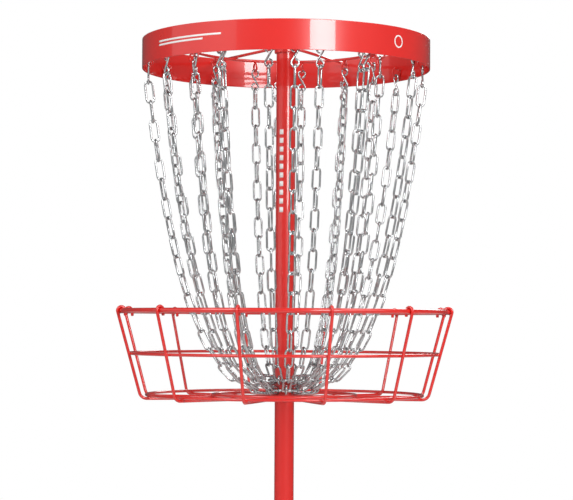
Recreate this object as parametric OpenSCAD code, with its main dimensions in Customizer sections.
// Disc golf basket: a pole on a ring base, a wire basket clamped on the pole, and a
// sheet band on top that holds two circles of hanging chains.
// The origin is on the ground under the pole. +Z is up, and the front faces -Y.

/* [Pole] */
// Outside diameter of the pole tube
pole_d = 38.1; // [36:0.1:40]
// Wall of the pole tube
pole_wall = 1.6; // [1.2:0.1:2.5]
// Radial room between the pole tube and each socket that it slides into
pole_room = 0.1; // [0.1:0.05:0.2]

/* [Base] */
// Radius of the base ring, to the middle of its tube
base_ring_r = 290; // [270:1:300]
// Diameter of the tube of the base ring
base_tube_d = 22; // [20:1:26]
// Diameter of the tube of the base spokes
base_spoke_d = 19; // [16:1:20]
// Height of the middle of the base tubes above the ground
base_z = 17; // [16:1:20]
// Outside diameter of the socket that holds the pole
socket_d = 50; // [46:1:56]
// Height of the top of the socket
socket_top = 90; // [70:1:120]
// Diameter of a rubber foot
foot_d = 40; // [36:1:46]

/* [Basket] */
// Radius of the rim, to the middle of its rod
rim_r = 324.75; // [315:0.25:330]
// Diameter of the rim rod
rim_d = 9.5; // [8:0.5:12]
// Height of the top of the rim
rim_top = 820; // [800:1:840]
// Diameter of the thin basket wires
wire_d = 6; // [5:0.5:6.5]
// Height of the middle of the floor wires
floor_z = 646.5; // [636:0.5:656]
// Slope of the side wires from upright, in degrees
side_slope = 15.7; // [12:0.1:18]
// Bend radius where a side wire turns into a floor wire
bend_r = 15; // [12:1:20]
// Height of the middle ring
mid_ring_z = 733; // [720:1:745]
// Radius of the outer floor ring
floor_ring_r = 270; // [260:1:272]
// Radius of the inner floor ring
inner_ring_r = 140; // [130:1:160]
// Outside diameter of the basket hub
hub_d = 44; // [43:0.5:50]
// Height of the basket hub
hub_h = 32; // [28:1:36]

/* [Band] */
// Outside radius of the band
band_r = 283.7; // [282:0.1:286]
// Height of the band's sheet
band_h = 57; // [50:1:60]
// Thickness of the band's sheet
band_t = 2; // [1.5:0.1:3]
// Height of the lower edge of the band above the ground
band_z = 1291.5; // [1285:0.5:1295]
// Radius of the hanger ring
hanger_r = 187; // [182:1:190]
// Height of the middle of the hanger ring
hanger_z = 1334; // [1332:1:1335]
// Turn of the chain carrier against the basket, in degrees
carrier_turn = 3.5; // [0:0.5:5]

/* [Chains] */
// Diameter of the chain wire
link_d = 4.2; // [4:0.1:4.4]
// Outside width of a link
link_w = 19; // [18:0.5:20]
// Distance from one link to the next
link_pitch = 38.5; // [38:0.1:38.8]
// Number of links in an outer chain
outer_links = 18; // [18:1:18]
// Number of links in an inner chain
inner_links = 17; // [17:1:17]
// Turn from an outer chain to the inner chain after it, in degrees
inner_turn = 16.5; // [14:0.5:17]
// Radius of the two rings that gather the chains at the pole
gather_r = 30; // [29:0.5:31]
// Height of the lower gathering ring, for the outer chains
gather_low = 661; // [661:1:662]
// Height of the upper gathering ring, for the inner chains
gather_high = 681; // [681:1:682]

/* [Hidden] */
CHAINS = 12;
step = 360 / CHAINS;
numbers = [for (i = [1 : CHAINS]) str(i < 10 ? "0" : "", i)];
$fn = 48;

red = "#e53a30";
zinc = "#c9cbcc";
black = "#222222";

weld = 0.2;            // how far a welded wire sinks into its neighbour
gap = 0.15;            // room between two links, or a link and what it hangs on
pole_r = pole_d / 2;
bore_r = pole_r + pole_room;
wire_r = wire_d / 2;
hub_r = hub_d / 2;

// Basket: the side wire is tangent to its hook over the rim
rim_z = rim_top - rim_d / 2;
hook_r = rim_d / 2 + wire_r - weld;
hook_tip = 10;
side_top = [rim_r + hook_r * cos(side_slope), rim_z - hook_r * sin(side_slope)];
bend_z = floor_z + bend_r;
side_drop = side_top[1] - bend_z + bend_r * sin(side_slope);
bend_x = side_top[0] - side_drop * tan(side_slope) - bend_r * cos(side_slope);
side_length = side_drop / cos(side_slope);
floor_length = bend_x - hub_r + weld;
mid_ring_r = side_top[0] - (side_top[1] - mid_ring_z) * tan(side_slope)
  - (wire_d - weld) / cos(side_slope);
on_floor_z = floor_z + wire_d - weld;
hub_low = floor_z - wire_r - 3;
hub_stop = hub_low + hub_h / 2;
stop_h = 3;
stop_r = 15;

// Band and chain carrier
band_top = band_z + band_h;
band_in = band_r - band_t;
carrier_hub_r = 23;
carrier_hub_top = band_top - 3.5;
carrier_hub_h = 20;
carrier_step = 60;
spoke_turn = carrier_turn + step;
spoke_z = hanger_z + wire_d - weld;
pole_top = carrier_hub_top - 6;
cap_flange = 3;
cap_r = 17;
eye_wire = 2;
eye_r = 9;
outer_eye = [band_in - eye_r - eye_wire + weld, band_z + 16.7];
inner_eye = [hanger_r, hanger_z - wire_r - eye_r - eye_wire + weld];

// S-hook: two closed eyes of one wire, one above the other. Each curls round until its
// end is one wire and a gap away from the straight part
s_wire = 2;
s_eye = 7;
s_span = 28;
s_slant = asin(2 * s_eye / s_span);
s_shank = s_span * cos(s_slant);
s_tip = acos((s_eye - 2 * s_wire - gap) / s_eye);
s_curl = 360 - s_tip;

function s_hook_z(eye) = eye[1] - eye_r + eye_wire + gap - (s_eye - s_wire);
function chain_top(eye) = [eye[0], s_hook_z(eye) - s_span - s_eye + s_wire + gap / 2];
gather_end = gather_r - wire_r - gap;

// A hanging chain of n links from point p down to point q, both as [radius, height]
function sinh(x) = (exp(x) - exp(-x)) / 2;
function cosh(x) = (exp(x) + exp(-x)) / 2;
function asinh(x) = ln(x + sqrt(x * x + 1));
function atanh(x) = ln((1 + x) / (1 - x)) / 2;
function width_of(a, run) = 2 * a * sinh(run / (2 * a));
function sag(run, slack, low, high, left) =
  let (a = (low + high) / 2)
  left == 0 ? a
    : width_of(a, run) > slack ? sag(run, slack, a, high, left - 1)
    : sag(run, slack, low, a, left - 1);
function hang(p, q, n) =
  let (length = n * link_pitch)
  let (run = p[0] - q[0])
  let (drop = p[1] - q[1])
  let (a = sag(run, sqrt(length * length - drop * drop), run / 12, run * 12, 40))
  let (middle = (p[0] + q[0]) / 2 - a * atanh(drop / length))
  let (base = p[1] - a * cosh((p[0] - middle) / a))
  let (start = sinh((p[0] - middle) / a))
  [for (i = [0 : n])
    let (x = middle + a * asinh(start - i * link_pitch / a))
    [x, base + a * cosh((x - middle) / a)]];

outer_path = hang(chain_top(outer_eye), [gather_end, gather_low], outer_links);
inner_path = hang(chain_top(inner_eye), [gather_end, gather_high], inner_links);

// Twist of one link against the last, beyond a quarter turn, so that the first and the
// last link of a chain both stand upright in the plane through the pole
outer_twist = [for (i = [0 : CHAINS - 1]) (i % 2 == 0 ? 90 : -90) / (outer_links - 1)];
inner_twist = [for (i = [0 : CHAINS - 1]) [0, 180, 0, -180][i % 4] / (inner_links - 1)];

// ---------------------------------------------------------------- shared shapes
// Places its children at an angle seen from above, where 0 is the front
module at_turn(angle)
  rotate([0, 0, angle - 90])
    children();

// A round ring of wire that lies flat
module flat_ring(radius, wire, z)
  translate([0, 0, z])
    rotate_extrude()
      translate([radius, 0])
        circle(r = wire);

// A round bar between two points of the upright plane y = 0
module bar(p, q, r) {
  run = q - p;
  translate([p[0], 0, p[1]])
    rotate([0, atan2(run[0], run[1]), 0])
      cylinder(h = norm(run), r = r);
}

// A bent bar about a centre in the plane y = 0, from one angle to another
module bend(centre, radius, from, to, r)
  translate([centre[0], 0, centre[1]])
    rotate([90, 0, 0])
      rotate([0, 0, from])
        rotate_extrude(angle = to - from)
          translate([radius, 0])
            circle(r = r);

// A closed eye in the plane y = 0
module eye(centre, radius, wire)
  translate([centre[0], 0, centre[1]])
    rotate([90, 0, 0])
      flat_ring(radius, wire, 0);

// A round tube along Z
module tube(outer, inner, low, high)
  translate([0, 0, low])
    difference() {
      cylinder(h = high - low, r = outer);
      translate([0, 0, -1])
        cylinder(h = high - low + 2, r = inner);
    }

// ---------------------------------------------------------------- base and pole
module base_ring()
  color(red)
    flat_ring(base_ring_r, base_tube_d / 2, base_z);

module base_spokes()
  color(red)
    difference() {
      for (angle = [45 : 90 : 315])
        at_turn(angle)
          translate([socket_d / 2 - 2, 0, base_z])
            rotate([0, 90, 0])
              cylinder(h = base_ring_r - socket_d / 2, r = base_spoke_d / 2);
      flat_ring(base_ring_r, base_tube_d / 2 - weld / 2, base_z);
      cylinder(h = socket_top, r = socket_d / 2 - weld / 2);
    }

module base_socket()
  color(red)
    difference() {
      translate([0, 0, base_z - base_tube_d / 2])
        cylinder(h = socket_top - base_z + base_tube_d / 2, r = socket_d / 2);
      translate([0, 0, base_z - base_tube_d / 2 + 4])
        cylinder(h = socket_top, r = bore_r);
    }

module base_feet()
  color(black)
    difference() {
      for (angle = [0 : 90 : 270])
        at_turn(angle)
          translate([base_ring_r, 0, 0])
            cylinder(h = base_z + 1, r = foot_d / 2);
      flat_ring(base_ring_r, base_tube_d / 2, base_z);
    }

module lower_pole()
  color(red)
    tube(pole_r, pole_r - pole_wall, base_z - base_tube_d / 2 + 4, hub_stop);

module upper_pole()
  color(red)
    tube(pole_r, pole_r - pole_wall, hub_stop + stop_h, pole_top);

module pole_cap()
  color(black) {
    translate([0, 0, carrier_hub_top])
      cylinder(h = cap_flange, r = cap_r);
    translate([0, 0, carrier_hub_top - 5])
      cylinder(h = 5, r = stop_r);
  }

// ---------------------------------------------------------------- basket
// The hub is a socket for both poles, with a stop between them
module basket_hub()
  color(red)
    difference() {
      translate([0, 0, hub_low])
        cylinder(h = hub_h, r = hub_r);
      translate([0, 0, hub_low - 1])
        cylinder(h = hub_stop - hub_low + 1, r = bore_r);
      translate([0, 0, hub_stop + stop_h])
        cylinder(h = hub_h, r = bore_r);
      translate([0, 0, hub_low])
        cylinder(h = hub_h, r = stop_r);
    }

module basket_rim()
  color(red)
    flat_ring(rim_r, rim_d / 2, rim_z);

module basket_mid_ring()
  color(red)
    flat_ring(mid_ring_r, wire_r, mid_ring_z);

module basket_floor_ring()
  color(red)
    flat_ring(floor_ring_r, wire_r, on_floor_z);

module basket_inner_ring()
  color(red)
    flat_ring(inner_ring_r, wire_r, on_floor_z);

// One wire: hooked over the rim, down the side, and along the floor to the hub. Each
// stretch is drawn from the end of the one before it
module basket_rib(number)
  color(red)
    at_turn((number - 0.5) * step)
      translate([rim_r, 0, rim_z]) {
        bend([0, 0], hook_r, -side_slope, 180, wire_r);
        translate([-hook_r, 0, -hook_tip])
          cylinder(h = hook_tip, r = wire_r);
        rotate([0, side_slope, 0])
          translate([hook_r, 0, -side_length]) {
            cylinder(h = side_length, r = wire_r);
            translate([-bend_r, 0, 0]) {
              bend([0, 0], bend_r, side_slope - 90, 0, wire_r);
              rotate([0, -side_slope, 0])
                translate([0, 0, -bend_r])
                  rotate([0, -90, 0])
                    cylinder(h = floor_length, r = wire_r);
            }
          }
      }

module gather_ring_lower()
  color(zinc)
    flat_ring(gather_r, wire_r, gather_low);

module gather_ring_upper()
  color(zinc)
    flat_ring(gather_r, wire_r, gather_high);

// ---------------------------------------------------------------- band and carrier
module band()
  color(red)
    tube(band_r, band_in, band_z, band_top);

// The hub stops on the top of the pole
module hanger_hub()
  color(red)
    difference() {
      translate([0, 0, carrier_hub_top - carrier_hub_h])
        cylinder(h = carrier_hub_h, r = carrier_hub_r);
      translate([0, 0, carrier_hub_top - carrier_hub_h - 1])
        cylinder(h = pole_top - carrier_hub_top + carrier_hub_h + 1, r = bore_r);
      translate([0, 0, carrier_hub_top - carrier_hub_h])
        cylinder(h = carrier_hub_h + 1, r = stop_r);
    }

module hanger_ring()
  color(red)
    flat_ring(hanger_r, wire_r, hanger_z);

module hanger_spokes()
  color(red)
    for (angle = [spoke_turn : carrier_step : spoke_turn + 300])
      at_turn(angle)
        bar([carrier_hub_r - weld, spoke_z], [band_in + weld, spoke_z], wire_r);

module outer_eyelets()
  color(red)
    for (i = [0 : CHAINS - 1])
      at_turn(carrier_turn + i * step)
        eye(outer_eye, eye_r, eye_wire);

module inner_eyelets()
  color(red)
    for (i = [0 : CHAINS - 1])
      at_turn(carrier_turn + inner_turn + i * step)
        eye(inner_eye, eye_r, eye_wire);

// One wire bent into two closed eyes, in the plane across the eyelet. It is drawn about
// its straight part, which is tangent to both eyes, and each end stops just short of it
module s_hook(hole)
  translate([hole[0], 0, s_hook_z(hole)])
    rotate([0, 0, 90])
      rotate([0, s_slant, 0]) {
        bend([0, 0], s_eye, 0, s_curl, s_wire);
        translate([s_eye, 0, -s_shank])
          cylinder(h = s_shank, r = s_wire);
        bend([2 * s_eye, -s_shank], s_eye, 180, 180 + s_curl, s_wire);
      }

module outer_s_hooks()
  color(zinc)
    for (i = [0 : CHAINS - 1])
      at_turn(carrier_turn + i * step)
        s_hook(outer_eye);

module inner_s_hooks()
  color(zinc)
    for (i = [0 : CHAINS - 1])
      at_turn(carrier_turn + inner_turn + i * step)
        s_hook(inner_eye);

// ---------------------------------------------------------------- chains
// One link about the origin: long along X, flat in the plane y = 0
module link() {
  side = (link_w - link_d) / 2;
  half = (link_pitch + 2 * gap + link_d) / 2 - side;
  bend([half, 0], side, -90, 90, link_d / 2);
  bend([-half, 0], side, 90, 270, link_d / 2);
  bar([-half, side], [half, side], link_d / 2);
  bar([-half, -side], [half, -side], link_d / 2);
}

// A chain of links along a path, each turned a quarter and a little against the last
module chain(path, twist)
  for (i = [0 : len(path) - 2]) {
    middle = (path[i] + path[i + 1]) / 2;
    along = path[i + 1] - path[i];
    translate([middle[0], 0, middle[1]])
      rotate([0, -atan2(along[1], along[0]), 0])
        rotate([i * (90 + twist), 0, 0])
          link();
  }

module outer_chain(number)
  color(zinc)
    at_turn(carrier_turn + (number - 1) * step)
      chain(outer_path, outer_twist[number - 1]);

module inner_chain(number)
  color(zinc)
    at_turn(carrier_turn + inner_turn + (number - 1) * step)
      chain(inner_path, inner_twist[number - 1]);

// ---------------------------------------------------------------- drawing
base_ring();
base_spokes();
base_socket();
base_feet();
lower_pole();
upper_pole();
pole_cap();
basket_hub();
basket_rim();
basket_mid_ring();
basket_floor_ring();
basket_inner_ring();
gather_ring_lower();
gather_ring_upper();
band();
hanger_hub();
hanger_ring();
hanger_spokes();
outer_eyelets();
inner_eyelets();
outer_s_hooks();
inner_s_hooks();
for (i = [1 : CHAINS]) {
  basket_rib(i);
  outer_chain(i);
  inner_chain(i);
}
